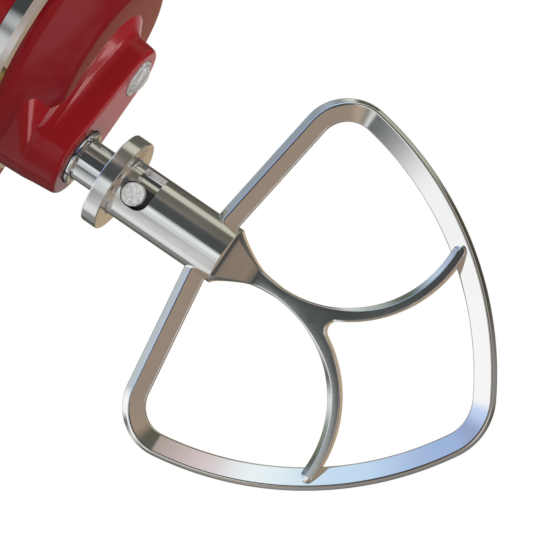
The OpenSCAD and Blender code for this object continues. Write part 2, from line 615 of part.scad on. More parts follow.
last_station = len(half_frame) - 1;
frame_stations = concat([for (i = [last_station:-1:1]) half_frame[i]], [for (st = half_frame) mirrored(st)]);
edge_h = 2;
inner_h = 1.1;
function section_at(st) = let (n = [cos(st[1]), sin(st[1])], e = st[2])
    [for (q = [[0, -edge_h], [0, edge_h], [e, ridge_h], [band_w, inner_h], [band_w, -inner_h], [e, -ridge_h]])
        [st[0][0] - q[0] * n[0], st[0][1] - q[0] * n[1], q[1]]];

spoke_c = [66, 43.8];
spoke_in = 41.8;
spoke_out = 46.6;
spoke_end = 3.5;
crotch_r = 3.5;
crotch_s = spoke_c[0] + sqrt(pow(spoke_out + crotch_r, 2) - pow(spoke_c[1], 2));
crotch_touch = spoke_out / (spoke_out + crotch_r);
crotch_touch_s = spoke_c[0] + (crotch_s - spoke_c[0]) * crotch_touch;
crotch_touch_w = spoke_c[1] * (1 - crotch_touch);
module spoke_arm() translate([spoke_c[0], spoke_c[1], 0]) {
    rotate(-97) rotate_extrude(angle = 97 + spoke_end, $fn = 96)
        polygon([[spoke_in, -2], [spoke_in + 1.8, -ridge_h], [spoke_out - 0.5, -ridge_h], [spoke_out, -ridge_h + 0.6],
            [spoke_out, ridge_h - 0.6], [spoke_out - 0.5, ridge_h], [spoke_in + 1.8, ridge_h], [spoke_in, 2]]);
    rotate(spoke_end) translate([(spoke_in + spoke_out) / 2, 0, 0.9 - ridge_h])
        cylinder(r = 2.2, h = 2 * ridge_h - 1.8);
}
// The web where the arms part; its round throat is cut a little past the arms' own edges.
module crotch_web() translate([0, 0, -ridge_h + 0.3]) linear_extrude(height = 2 * ridge_h - 0.6) difference() {
    polygon([[79, 0], [crotch_touch_s, -crotch_touch_w], [crotch_touch_s, crotch_touch_w]]);
    translate([crotch_s, 0]) circle(r = crotch_r + 0.06);
}
module hub_barrel() {
    x_rod(collar_r, -6, 0);
    x_rod(barrel_r, -6, barrel_end);
    hull() {
        translate([barrel_end - 1, 0, 0]) rotate([0, 90, 0]) linear_extrude(height = 1.2)
            polygon([[3.5, 10.3], [-3.5, 10.3], [-7.3, 8.2], [-7.3, -8.2],
                [-3.5, -10.3], [3.5, -10.3], [7.3, -8.2], [7.3, 8.2]]);
        box(58, 61, -2.6, 2.6, -ridge_h, ridge_h);
    }
}
barrel_end = 44;
pin_slot_r = 4.6;
pin_lift = 2;
slot_end = beater_pin_s + pin_lift + pin_slot_r;
passage_w = 8.4;
channel_angle = 69;
channel_deep = 12.4;
module pin_slot() {
    translate([beater_pin_s, 0, 0]) cylinder(r = pin_slot_r, h = 20);
    translate([beater_pin_s, -pin_slot_r, 0]) cube([pin_lift, 2 * pin_slot_r, 20]);
    translate([beater_pin_s + pin_lift, 0, 0]) cylinder(r = pin_slot_r, h = 20);
    // passage round the barrel, then the channel that the pin came in by
    translate([slot_end - passage_w, 0, 0]) rotate([0, 90, 0]) rotate(180 - channel_angle)
        rotate_extrude(angle = channel_angle) translate([5, 0]) square([15, passage_w]);
    rotate([-channel_angle, 0, 0]) translate([-7, -passage_w / 2, 0]) cube([slot_end + 6.8, passage_w, channel_deep]);
}
module flat_beater() color(STEEL) head_open() beater_frame() difference() {
    union() {
        hub_barrel();
        loft([for (st = frame_stations) section_at(st)]);
        spoke_arm();
        mirror([0, 1, 0]) spoke_arm();
        crotch_web();
    }
    x_rod(shaft_r + 0.06, -8, 30);
    pin_slot();
}

// ---------- attachment hub ----------
module hub_bush() color(BRASS) head_open() translate([0, 0, hub_z]) difference() {
    union() { y_rod(hub_r + 6.1, hub_floor_y + 0.02, hub_floor_y + 3); y_rod(11, hub_floor_y + 2, -38); }
    y_rod(7 + run, nose_y, 0);
    translate([0, knob_y, 0]) x_rod(4.1, 0, 80);
}
module hub_bezel() color(STEEL) head_open() translate([0, 0, hub_z]) difference() {
    union() { y_rod(hub_r + 6.1, nose_y - 1.5, hub_floor_y); y_rod(hub_r + 8, nose_y - 3, nose_y - 0.02); }
    y_rod(hub_r, nose_y - 5, nose_y + 60);
    translate([0, nose_y + 20, 0]) x_rod(4.1, 0, 80);
    translate([0, nose_y - 3, hub_r + 4]) box(-9, 9, -2, 1.52, -3, 8);
}
module hub_drive_shaft() color(STEEL) head_open() translate([0, 0, hub_z]) difference() {
    union() { y_rod(7, hub_floor_y + 1, -28); y_rod(4, -29, -16); }
    box(-4, 4, hub_floor_y - 1, hub_floor_y + 18, -4, 4);
}
cover_y = nose_y - 3.3;
cover_pin_z = hub_z + hub_r + 6;
module hub_cover() color(STEEL) head_open() {
    translate([0, 0, hub_z]) rotate([90, 0, 0]) translate([0, 0, -cover_y]) rotate_extrude($fn = 72)
        polygon([[0, 0], [hub_r + 5, 0], [hub_r + 5, 1.2], [hub_r + 3, 2.8], [hub_r - 2, 4], [8, 4.7], [0, 4.9]]);
    translate([0, cover_y - 1.2, cover_pin_z]) x_rod(1.9, -8, 8);
    translate([0, cover_y - 1.2, cover_pin_z]) box(-8, 8, -1.2, 1.2, -5, 0);
}
knob_y = nose_y + 20;
module hub_knob() color(BLACK) head_open() translate([0, knob_y, hub_z]) {
    color(STEEL) x_rod(4, 18.6, 48);
    difference() {
        union() { x_rod(11, 48, 62); x_rod(7, 46, 48); }
        for (a = [0:30:330]) rotate([a, 0, 0]) translate([0, 11.9, 0]) x_rod(1.8, 49.5, 64);
    }
}

// ---------- levers ----------
lever_px = -28;
module speed_lever() color(STEEL) head_open() {
    translate([lever_px, speed_y, speed_z - 2.4]) { cylinder(r = 5, h = 4.8); z_rod(2.5, -6, 12); }
    box(-60.38, lever_px, speed_y - 3, speed_y + 3, speed_z - 1.6, speed_z + 1.6);
}
module speed_knob() color(BLACK) head_open() translate([-66, speed_y, speed_z]) {
    rotate([0, 90, 0]) rotate_extrude($fn = 48)
        polygon([[0, -8], [4, -7.4], [6.6, -4.4], [7, 0], [5.6, 4], [3.2, 5.6], [0, 5.6]]);
}
module lock_lever() color(STEEL) head_open() {
    box(40, 58.38, 130, 136, head_z + 13.6, head_z + 17.4);
    box(37.4, 41.4, 126, 150, head_z + 12.4, head_z + 18.6);
}
module lock_knob() color(BLACK) head_open() translate([64, 133, head_z + 15.5]) {
    rotate([0, 90, 0]) rotate_extrude($fn = 48)
        polygon([[0, -5.6], [3.2, -5.6], [5.6, -4], [7, 0], [6.6, 4.4], [4, 7.4], [0, 8]]);
}

base_casting();
column();
base_screws();
rubber_feet();
bowl_clamp_plate();
clamp_screws();
hinge_pin();
hinge_set_screw();
height_screw();
bowl();
bowl_handle();
gearcase();
motor_housing();
rear_cover();
cover_screws();
trim_band();
drip_ring();
ring_gear();
stator_core();
stator_windings();
front_bearing();
rear_bearing();
brush_holders();
carbon_brushes();
brush_caps();
centre_bush();
layshaft_bracket();
hub_bezel();
hub_bush();
control_board();
cord_gland();
motor_shaft();
armature();
commutator();
cooling_fan();
worm();
layshaft();
worm_wheel();
layshaft_pinion();
planetary_housing();
centre_shaft();
centre_gear();
centre_bevel_gear();
beater_bush();
drive_pin();
beater_shaft();
planet_pinion();
shaft_seal();
retaining_ring();
beater_pin();
flat_beater();
hub_drive_shaft();
hub_bevel_gear();
hub_cover();
hub_knob();
speed_lever();
speed_knob();
lock_lever();
lock_knob();
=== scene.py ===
"""Looks for the tilt-head stand mixer: polished steel, red enamel and a plain white studio.

Metres in the frame of the CAD; lengths in the pieces below are millimetres until they are placed.
The beater has a frame of its own: s runs down its shaft from the collar's lower face, w across to the head's
nose, and h to the left.
"""
import json
import math

import bmesh
import bpy
from mathutils import Matrix, Vector

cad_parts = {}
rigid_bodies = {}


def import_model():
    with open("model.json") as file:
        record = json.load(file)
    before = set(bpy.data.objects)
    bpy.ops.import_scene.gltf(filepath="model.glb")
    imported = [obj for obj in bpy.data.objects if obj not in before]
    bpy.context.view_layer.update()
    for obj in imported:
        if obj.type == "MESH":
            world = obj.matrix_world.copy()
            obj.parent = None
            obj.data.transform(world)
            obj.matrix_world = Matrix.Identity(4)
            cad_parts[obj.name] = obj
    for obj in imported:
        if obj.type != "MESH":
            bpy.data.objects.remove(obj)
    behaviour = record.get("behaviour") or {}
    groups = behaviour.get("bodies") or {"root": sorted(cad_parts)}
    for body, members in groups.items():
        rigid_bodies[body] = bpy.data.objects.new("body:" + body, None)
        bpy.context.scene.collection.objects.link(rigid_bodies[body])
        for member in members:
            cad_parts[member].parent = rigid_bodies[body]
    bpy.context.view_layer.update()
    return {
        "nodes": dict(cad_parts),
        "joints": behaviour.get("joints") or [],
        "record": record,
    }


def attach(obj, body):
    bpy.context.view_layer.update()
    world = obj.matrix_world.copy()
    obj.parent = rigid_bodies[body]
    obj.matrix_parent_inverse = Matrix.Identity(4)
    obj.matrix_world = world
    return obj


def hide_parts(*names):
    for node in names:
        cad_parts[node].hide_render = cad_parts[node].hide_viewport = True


MM = 0.001
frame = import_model()


def joint(name):
    return next(j for j in frame["joints"] if j["name"] == name)


# ---------- frames ----------
COLLAR = Vector(joint("beater_spin")["pos_m"])
UP_SHAFT = Vector(joint("beater_spin")["axis"]).normalized()
DOWN = -UP_SHAFT
ACROSS = Vector((1, 0, 0)).cross(UP_SHAFT)
LEFT = Vector((-1, 0, 0))
ORBIT_W, ORBIT_H, PLANET_GAP = 34.14, -7.69, 19.2


def at_beater(s, w, h):
    return COLLAR + (DOWN * s + ACROSS * w + LEFT * h) * MM


def at_planetary(x, y, z):
    """Right, back and up of the closed head from the middle of the planetary's lower face."""
    return at_beater(-PLANET_GAP - z, ORBIT_W - y, ORBIT_H - x)


# ---------- camera ----------
CAMERA_AT = (163.6, 40.3, 755.4)
CAMERA_AIM = (61.6, 4.2, 0)
CAMERA_ROLL = math.radians(0.31)
LENS = 144


def make_camera():
    data = bpy.data.cameras.new("camera")
    data.lens = LENS
    data.sensor_width = 36
    data.clip_start = 0.01
    data.clip_end = 200
    camera = bpy.data.objects.new("camera", data)
    bpy.context.scene.collection.objects.link(camera)
    place = at_beater(*CAMERA_AT)
    aim = at_beater(*CAMERA_AIM) - place
    turn = aim.to_track_quat("-Z", "Y").to_matrix().to_4x4() @ Matrix.Rotation(CAMERA_ROLL, 4, "Z")
    camera.matrix_world = Matrix.Translation(place) @ turn
    bpy.context.scene.camera = camera


make_camera()


# ---------- mesh helpers ----------
SHARP = 32      # degrees between two faces from which their edge is crisp


def make_piece(name, points, faces, sharp=SHARP):
    """A closed mesh from points in metres, smooth but for edges sharper than the given angle."""
    mesh = bpy.data.meshes.new(name)
    mesh.from_pydata([tuple(p) for p in points], [], faces)
    shape = bmesh.new()
    shape.from_mesh(mesh)
    bmesh.ops.remove_doubles(shape, verts=shape.verts, dist=1e-6)
    bmesh.ops.dissolve_degenerate(shape, edges=shape.edges, dist=1e-7)
    bmesh.ops.recalc_face_normals(shape, faces=shape.faces)
    shape.to_mesh(mesh)
    shape.free()
    mesh.shade_smooth()
    mesh.set_sharp_from_angle(angle=math.radians(sharp))
    piece = bpy.data.objects.new(name, mesh)
    bpy.context.scene.collection.objects.link(piece)
    return piece


def stack(rings, closed=False):
    """Points and faces of a skin through rings of equal length, capped at its ends unless it closes on itself."""
    k, n = len(rings[0]), len(rings)
    points = [p for ring in rings for p in ring]
    faces = []
    for j in range(n if closed else n - 1):
        a, b = j * k, (j + 1) % n * k
        faces += [(a + i, a + (i + 1) % k, b + (i + 1) % k, b + i) for i in range(k)]
    if not closed:
        faces += [tuple(range(k)), tuple(range((n - 1) * k, n * k))]
    return points, faces


def turned(profile, place, steps=96, first=0.0, last=360.0):
    """Rings of a closed profile of (along, radius) turned about an axis; place(along, across, up) gives points."""
    angles = [math.radians(first + (last - first) * i / steps) for i in range(steps + (last - first < 360))]
    return [[place(a, r * math.cos(t), r * math.sin(t)) for a, r in profile] for t in angles]


def turned_piece(name, profile, place, steps=96, sharp=SHARP):
    return make_piece(name, *stack(turned(profile, place, steps), closed=True), sharp=sharp)


def rounded(corners, radius, steps=3):
    """The corners of a closed outline, each cut by an arc's points; radius may be one number or one for each."""
    count = len(corners)
    radii = radius if isinstance(radius, (list, tuple)) else [radius] * count
    out = []
    for i, corner in enumerate(corners):
        p = Vector(corner)
        to_last = Vector(corners[i - 1]) - p
        to_next = Vector(corners[(i + 1) % count]) - p
        cut = min(radii[i], to_last.length * 0.45, to_next.length * 0.45)
        if cut <= 0:
            out.append(tuple(p))
            continue
        a, b = p + to_last.normalized() * cut, p + to_next.normalized() * cut
        for j in range(steps + 1):
            t = j / steps
            out.append(tuple(a * (1 - t) ** 2 + p * 2 * t * (1 - t) + b * t * t))
    return out


def evaluated(piece):
    """Applies a piece's modifiers to its mesh."""
    graph = bpy.context.evaluated_depsgraph_get()
    mesh = bpy.data.meshes.new_from_object(piece.evaluated_get(graph))
    piece.modifiers.clear()
    piece.data = mesh


def cut(piece, tool, sharp=SHARP):
    knife = piece.modifiers.new("cut", "BOOLEAN")
    knife.operation = "DIFFERENCE"
    knife.solver = "EXACT"
    knife.object = tool
    evaluated(piece)
    bpy.data.objects.remove(tool)
    piece.data.shade_smooth()
    piece.data.set_sharp_from_angle(angle=math.radians(sharp))


def finish_piece(piece, body, slot, *nodes):
    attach(piece, body)
    if nodes:
        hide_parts(*nodes)
    piece.data.materials.clear()
    piece.data.materials.append(finish_of(piece.name, slot))


# ---------- materials ----------
class Recipe:
    """A material's node tree, with short ways to add the nodes that the finishes share."""

    def __init__(self, name, colour, rough, metal=0.0, **sockets):
        self.material = bpy.data.materials.new(name)
        self.material.use_nodes = True
        self.nodes = self.material.node_tree.nodes
        self.links = self.material.node_tree.links
        self.shader = self.nodes["Principled BSDF"]
        self.colour, self.rough = colour, rough
        self.shader.inputs["Base Color"].default_value = (*colour, 1)
        self.shader.inputs["Roughness"].default_value = rough
        self.shader.inputs["Metallic"].default_value = metal
        for socket, value in sockets.items():
            self.shader.inputs[socket.replace("_", " ")].default_value = value
        self.place = self.nodes.new("ShaderNodeTexCoord").outputs["Object"]

    def noise(self, scale, detail=3, stretch=(1, 1, 1)):
        mapping = self.nodes.new("ShaderNodeMapping")
        mapping.inputs["Scale"].default_value = stretch
        self.links.new(self.place, mapping.inputs["Vector"])
        noise = self.nodes.new("ShaderNodeTexNoise")
        noise.inputs["Scale"].default_value = scale
        noise.inputs["Detail"].default_value = detail
        self.links.new(mapping.outputs["Vector"], noise.inputs["Vector"])
        return noise.outputs["Fac"]

    def spread(self, value, low, high):
        """Maps the noise's middle range onto low..high."""
        node = self.nodes.new("ShaderNodeMapRange")
        node.inputs["From Min"].default_value = 0.3
        node.inputs["From Max"].default_value = 0.7
        node.inputs["To Min"].default_value = low
        node.inputs["To Max"].default_value = high
        self.links.new(value, node.inputs["Value"])
        return node.outputs["Result"]

    def vary_roughness(self, scale, low, high, stretch=(1, 1, 1)):
        self.links.new(self.spread(self.noise(scale, 3, stretch), low, high), self.shader.inputs["Roughness"])
        return self

    def vary_colour(self, scale, other, detail=4):
        mix = self.nodes.new("ShaderNodeMix")
        mix.data_type = "RGBA"
        mix.inputs["A"].default_value = (*self.colour, 1)
        mix.inputs["B"].default_value = (*other, 1)
        self.links.new(self.spread(self.noise(scale, detail), 0, 1), mix.inputs["Factor"])
        self.links.new(mix.outputs["Result"], self.shader.inputs["Base Color"])
        return self

    def bump(self, scale, height, detail=2, stretch=(1, 1, 1)):
        """Bump of a height in millimetres."""
        node = self.nodes.new("ShaderNodeBump")
        node.inputs["Distance"].default_value = height * MM
        node.inputs["Strength"].default_value = 1.0
        self.links.new(self.noise(scale, detail, stretch), node.inputs["Height"])
        self.links.new(node.outputs["Normal"], self.shader.inputs["Normal"])
        return self


def make_materials():
    made = {
        "paint": Recipe("paint", (0.25, 0.0035, 0.007), 0.3,
                        Specular_IOR_Level=0.1, Coat_Weight=0.42, Coat_Roughness=0.11)
        .vary_colour(9, (0.225, 0.003, 0.006)).bump(320, 0.003),
        "bright_steel": Recipe("bright_steel", (0.95, 0.945, 0.935), 0.09, 1)
        .vary_roughness(55, 0.06, 0.13).vary_colour(25, (0.9, 0.9, 0.89)).bump(700, 0.0012),
        "chrome": Recipe("chrome", (0.84, 0.84, 0.85), 0.05, 1)
        .vary_roughness(60, 0.03, 0.08).vary_colour(20, (0.8, 0.8, 0.82)),
        "machined_steel": Recipe("machined_steel", (0.58, 0.58, 0.59), 0.3, 1)
        .vary_roughness(140, 0.22, 0.4).vary_colour(80, (0.5, 0.5, 0.5)).bump(900, 0.006),
        "gear_steel": Recipe("gear_steel", (0.32, 0.32, 0.33), 0.38, 1)
        .vary_roughness(120, 0.3, 0.5).vary_colour(60, (0.26, 0.26, 0.27)).bump(600, 0.008),
        "core_steel": Recipe("core_steel", (0.18, 0.18, 0.19), 0.5, 1)
        .vary_roughness(90, 0.4, 0.6).vary_colour(50, (0.13, 0.13, 0.14)).bump(900, 0.02, stretch=(0.1, 1, 1)),
        "copper": Recipe("copper", (0.6, 0.24, 0.11), 0.3, 1)
        .vary_roughness(80, 0.25, 0.4).vary_colour(60, (0.5, 0.18, 0.08)).bump(700, 0.05, stretch=(0.1, 1, 1)),
        "brass": Recipe("brass", (0.68, 0.48, 0.2), 0.3, 1)
        .vary_roughness(90, 0.25, 0.4).vary_colour(50, (0.6, 0.42, 0.17)).bump(800, 0.006),
        "black_plastic": Recipe("black_plastic", (0.012, 0.012, 0.013), 0.36)
        .vary_roughness(200, 0.3, 0.44).vary_colour(120, (0.018, 0.018, 0.018)).bump(1600, 0.02),
        "nylon": Recipe("nylon", (0.78, 0.74, 0.62), 0.4)
        .vary_roughness(90, 0.35, 0.5).vary_colour(30, (0.74, 0.7, 0.58)).bump(900, 0.01),
        "carbon": Recipe("carbon", (0.02, 0.02, 0.022), 0.55)
        .vary_roughness(300, 0.5, 0.7).vary_colour(400, (0.04, 0.04, 0.04)).bump(1500, 0.02),
        "board": Recipe("board", (0.03, 0.14, 0.06), 0.45)
        .vary_roughness(120, 0.4, 0.55).vary_colour(300, (0.04, 0.18, 0.08)).bump(900, 0.01),
        "rubber": Recipe("rubber", (0.015, 0.015, 0.016), 0.65)
        .vary_roughness(160, 0.6, 0.8).vary_colour(200, (0.025, 0.025, 0.025)).bump(1400, 0.03),
    }
    return {name: recipe.material for name, recipe in made.items()}


MATERIALS = make_materials()
FROSTED = Recipe("frosted_steel", (0.95, 0.95, 0.94), 0.35, 0.25)
FROSTED.vary_colour(900, (0.6, 0.6, 0.59)).bump(1100, 0.08)
SATIN = Recipe("satin_steel", (0.96, 0.955, 0.95), 0.16, 1)
SATIN.vary_roughness(60, 0.13, 0.19).vary_colour(30, (0.9, 0.9, 0.89)).bump(800, 0.0012)
BRUSHED = Recipe("brushed_steel", (0.82, 0.82, 0.81), 0.27, 1)
BRUSHED.vary_roughness(40, 0.22, 0.32, stretch=(1, 1, 6)).vary_colour(15, (0.76, 0.76, 0.76))
BRUSHED.bump(500, 0.003, stretch=(1, 1, 8))
CAP = Recipe("cap_steel", (0.93, 0.93, 0.92), 0.13, 0.5)
CAP.vary_roughness(70, 0.09, 0.17).vary_colour(30, (0.86, 0.86, 0.86))
# Pieces and nodes with a finish of their own instead of their slot's.
SPECIAL = {"beater_pin": FROSTED, "bowl": BRUSHED, "bowl_handle": BRUSHED, "beater_hub": SATIN, "centre_cap": CAP}
SLOTS = {n["node"]: n["material_slot"] for n in frame["record"]["subparts"]}


def finish_of(name, slot):
    return SPECIAL[name].material if name in SPECIAL else MATERIALS[slot]


def make_smoothing(angle):
    """A modifier's nodes: merged points, smooth faces, and crisp edges above an angle."""
    group = bpy.data.node_groups.new("smooth_by_angle", "GeometryNodeTree")
    group.interface.new_socket("Geometry", in_out="INPUT", socket_type="NodeSocketGeometry")
    group.interface.new_socket("Geometry", in_out="OUTPUT", socket_type="NodeSocketGeometry")
    nodes, links = group.nodes, group.links
    start, end = nodes.new("NodeGroupInput"), nodes.new("NodeGroupOutput")
    merge = nodes.new("GeometryNodeMergeByDistance")
    merge.inputs["Distance"].default_value = 2e-6
    edge = nodes.new("GeometryNodeInputMeshEdgeAngle")
    flat = nodes.new("FunctionNodeCompare")
    flat.data_type = "FLOAT"
    flat.operation = "LESS_EQUAL"
    flat.inputs["B"].default_value = angle
    faces, edges = nodes.new("GeometryNodeSetShadeSmooth"), nodes.new("GeometryNodeSetShadeSmooth")
    edges.domain = "EDGE"
    links.new(start.outputs[0], merge.inputs["Geometry"])
    links.new(merge.outputs["Geometry"], faces.inputs["Geometry"])
    links.new(faces.outputs["Geometry"], edges.inputs["Geometry"])
    links.new(edge.outputs["Unsigned Angle"], flat.inputs["A"])
    links.new(flat.outputs["Result"], edges.inputs["Shade Smooth"])
    links.new(edges.outputs["Geometry"], end.inputs[0])
    return group


def dress_nodes():
    smoothing = make_smoothing(math.radians(SHARP))
    for name, node in frame["nodes"].items():
        node.data.materials.clear()
        node.data.materials.append(finish_of(name, SLOTS[name]))
        node.modifiers.new("smooth_by_angle", "NODES").node_group = smoothing


dress_nodes()


# ---------- flat beater ----------
BORE_R, BARREL_R, BARREL_END, COLLAR_R, COLLAR_TOP, BORE_DEEP = 8.06, 11, 44, 17.8, -6, 30
TIP_S, TIP_R = 152, 23
SHOULDER = (58.5, 53.5)
SHOULDER_R, SIDE_R, BAR_SLOPE = 18.5, 123, math.radians(8.2)
BAND_W, RIDGE_H, EDGE_H, INNER_H = 8, 4.6, 2, 1.1
RIDGE_SIDE, RIDGE_BAR = 1.3, 3
SPOKE_C, SPOKE_IN, SPOKE_OUT = (66, 43.8), 41.8, 46.6
PIN_S, PIN_SLOT_R, PIN_LIFT, PASSAGE_W = 6.2, 4.6, 2, 8.4
CHANNEL_ANGLE, CHANNEL_DEEP = math.radians(69), 12.4


def beater_outline():
    """Stations of the frame from the middle of its tip to its bar: outer point, outward angle, ridge distance."""
    tip, shoulder = Vector((TIP_S - TIP_R, 0)), Vector(SHOULDER)
    span = shoulder - tip
    a, b = SIDE_R - TIP_R, SIDE_R - SHOULDER_R
    along = (a * a - b * b + span.length_squared) / (2 * span.length)
    unit = span.normalized()
    side = tip + unit * along - Vector((unit.y, -unit.x)) * math.sqrt(a * a - along * along)
    tip_end = math.atan2(*reversed(tip - side))
    side_end = math.atan2(*reversed(shoulder - side))
    bar = math.pi - BAR_SLOPE

    def arc(centre, radius, start, end, count, ridge_start, ridge_end):
        for i in range(count):
            t = i / count
            angle = start + (end - start) * t
            ridge = ridge_start + (ridge_end - ridge_start) * t * t * (3 - 2 * t)
            yield centre + radius * Vector((math.cos(angle), math.sin(angle))), angle, ridge

    stations = list(arc(tip, TIP_R, 0, tip_end, 30, RIDGE_SIDE, RIDGE_SIDE))
    stations += arc(side, SIDE_R, tip_end, side_end, 48, RIDGE_SIDE, RIDGE_SIDE)
    stations += arc(shoulder, SHOULDER_R, side_end, bar, 40, RIDGE_SIDE, RIDGE_BAR)
    outer = shoulder + SHOULDER_R * Vector((math.cos(bar), math.sin(bar)))
    for w in (outer.y, outer.y - 16, outer.y - 32, 4):
        stations.append((Vector((outer.x - (outer.y - w) * math.tan(BAR_SLOPE), w)), bar, RIDGE_BAR))
    return stations


def frame_section(ridge):
    """Half of the frame's section, (distance in from the outer edge, height), with its corners rounded."""
    corners = [(0, -EDGE_H), (0, EDGE_H), (ridge, RIDGE_H), (BAND_W, INNER_H), (BAND_W, -INNER_H), (ridge, -RIDGE_H)]
    return rounded(corners, [0.45, 0.45, 0.95, 0.6, 0.6, 0.95], 7)


def make_beater_frame():
    half = beater_outline()
    mirror = [(Vector((p.x, -p.y)), -angle, ridge) for p, angle, ridge in half]
    rings = []
    for p, angle, ridge in list(reversed(half))[:-1] + mirror:
        normal = Vector((math.cos(angle), math.sin(angle)))
        rings.append([at_beater(*(p - q * normal), h) for q, h in frame_section(ridge)])
    return make_piece("beater_frame", *stack(rings), sharp=30)


def make_spoke(side):
    """One curved arm from the hub's stem to its free round end; its bevel on the hub's side widens along it."""
    middle = (SPOKE_IN + SPOKE_OUT) / 2
    first, last = math.radians(-92), math.radians(3.5)

    def section(t):
        t = min(max((t - 0.2) / 0.42, 0), 1)
        bevel = 0.45 + 1.45 * t * t * (3 - 2 * t)
        low = RIDGE_H - 1.37 * bevel
        corners = [(SPOKE_IN, -low), (SPOKE_IN + bevel, -RIDGE_H), (SPOKE_OUT - 0.5, -RIDGE_H),
                   (SPOKE_OUT, -RIDGE_H + 0.6), (SPOKE_OUT, RIDGE_H - 0.6), (SPOKE_OUT - 0.5, RIDGE_H),
                   (SPOKE_IN + bevel, RIDGE_H), (SPOKE_IN, low)]
        return [(r - middle, h) for r, h in rounded(corners, [0.4, 0.25, 0.15, 0.15, 0.15, 0.15, 0.25, 0.4], 3)]

    def at(angle, radial, tangential, h):
        r = middle + radial
        s = SPOKE_C[0] + r * math.cos(angle) - tangential * math.sin(angle)
        w = SPOKE_C[1] + r * math.sin(angle) + tangential * math.cos(angle)
        return at_beater(s, side * max(w, 0), h)

    rings = [[at(first + (last - first) * i / 60, p, 0, h) for p, h in section(i / 60)] for i in range(61)]
    for i in range(1, 9):
        turn = math.radians(90 * i / 8)
        rings.append([at(last, p * math.cos(turn), abs(p) * math.sin(turn), h) for p, h in section(1)])
    return make_piece("beater_spoke", *stack(rings), sharp=28)


def make_stem():
    """The barrel's tapered end. Rows: s, half widths of its sides and its front, heights of its front and sides."""
    rows = [(42.5, 10.3, 8.2, 7.3, 3.5), (44, 10.3, 8.2, 7.3, 3.5), (45.6, 9.0, 7.5, 7.0, 3.5),
            (48, 7.5, 6.3, 6.5, 3.4), (51, 5.8, 5.0, 5.9, 3.3), (54, 4.3, 3.8, 5.3, 3.2),
            (56.5, 3.3, 2.9, 4.8, 3.1), (58, 2.9, 2.4, 4.64, 3.3), (61, 2.45, 1.95, 4.63, 3.7),
            (65, 2.1, 1.6, 4.62, 3.8), (70, 1.8, 1.3, 4.57, 3.8)]
    rings = []
    for s, side_w, front_w, front_h, side_h in rows:
        corners = [(side_w, -side_h), (side_w, side_h), (front_w, front_h), (-front_w, front_h),
                   (-side_w, side_h), (-side_w, -side_h), (-front_w, -front_h), (front_w, -front_h)]
        rings.append([at_beater(s, w, h) for w, h in rounded(corners, 0.25, 2)])
    return make_piece("beater_stem", *stack(rings), sharp=18)


def make_crotch():
    """The web where the two arms part, with a round throat and the arms' own small bevel round it."""
    radius = 3.5
    centre = SPOKE_C[0] + math.sqrt((SPOKE_OUT + radius) ** 2 - SPOKE_C[1] ** 2)

    def outline(bevel):
        share = (SPOKE_OUT - bevel) / (SPOKE_OUT + radius)
        reach = math.atan2(SPOKE_C[1] * (1 - share), (centre - SPOKE_C[0]) * (share - 1))
        throat = [-reach + (2 * reach - 2 * math.pi) * i / 24 for i in range(25)]
        return [(77, 0.3), (77, -0.3)] + [(centre + (radius + bevel) * math.cos(a), (radius + bevel) * math.sin(a))
                                          for a in throat]

    top = RIDGE_H + 0.01
    levels = ((-top, 0.5), (-RIDGE_H + 0.6, 0), (RIDGE_H - 0.6, 0), (top, 0.5))
    rings = [[at_beater(s, w, h) for s, w in outline(bevel)] for h, bevel in levels]
    return make_piece("beater_crotch", *stack(rings), sharp=28)


def slot_tools():
    """What the pin's slot, its passage round the barrel and its way in through the collar cut out of the hub."""
    def rod(s):
        ring = [(s + PIN_SLOT_R * math.cos(math.radians(5 * i)), PIN_SLOT_R * math.sin(math.radians(5 * i)))
                for i in range(72)]
        return make_piece("tool", *stack([[at_beater(a, w, h) for a, w in ring] for h in (0, 25)]))

    def block(s0, s1, w, depth, turn):
        def place(s, across, up):
            cos, sin = math.cos(turn), math.sin(turn)
            return at_beater(s, across * cos + up * sin, up * cos - across * sin)
        rings = [[place(s, -w, 0.5), place(s, w, 0.5), place(s, w, depth), place(s, -w, depth)] for s in (s0, s1)]
        return make_piece("tool", *stack(rings))

    end = PIN_S + PIN_LIFT + PIN_SLOT_R
    start = end - PASSAGE_W
    sector = []
    for i in range(25):
        a = CHANNEL_ANGLE * i / 24
        sector.append([at_beater(s, r * math.sin(a), r * math.cos(a))
                       for s, r in ((start, 4), (end, 4), (end, 16), (start, 16))])
    return [rod(PIN_S), rod(PIN_S + PIN_LIFT), block(PIN_S, PIN_S + PIN_LIFT, PIN_SLOT_R, 25, 0),
            make_piece("tool", *stack(sector)), block(-8, end, PASSAGE_W / 2, CHANNEL_DEEP, CHANNEL_ANGLE)]


def make_hub():
    """Collar and barrel, bored for the shaft, with the pin's slot."""
    corners = [(COLLAR_TOP, BORE_R), (COLLAR_TOP, COLLAR_R), (0, COLLAR_R), (0, BARREL_R),
               (BARREL_END, BARREL_R), (BARREL_END, 0), (BORE_DEEP, 0), (BORE_DEEP, BORE_R)]
    profile = rounded(corners, [0.3, 0.5, 0.5, 0.9, 0.35, 0, 0, 0], 4)
    hub = turned_piece("beater_hub", profile, at_beater, 144, sharp=26)
    for tool in slot_tools():
        cut(hub, tool, sharp=26)
    edge = hub.modifiers.new("edges", "BEVEL")
    edge.width = 0.35 * MM
    edge.segments = 2
    edge.limit_method = "ANGLE"
    edge.angle_limit = math.radians(40)
    return hub


def make_beater():
    for piece in (make_beater_frame(), make_spoke(1), make_spoke(-1), make_stem(), make_crotch(), make_hub()):
        piece.modifiers.new("flat_faces", "WEIGHTED_NORMAL").keep_sharp = True
        finish_piece(piece, "beater", "bright_steel", "flat_beater")


make_beater()


# ---------- planetary ----------
LOBE = (-7.69, 34.14)
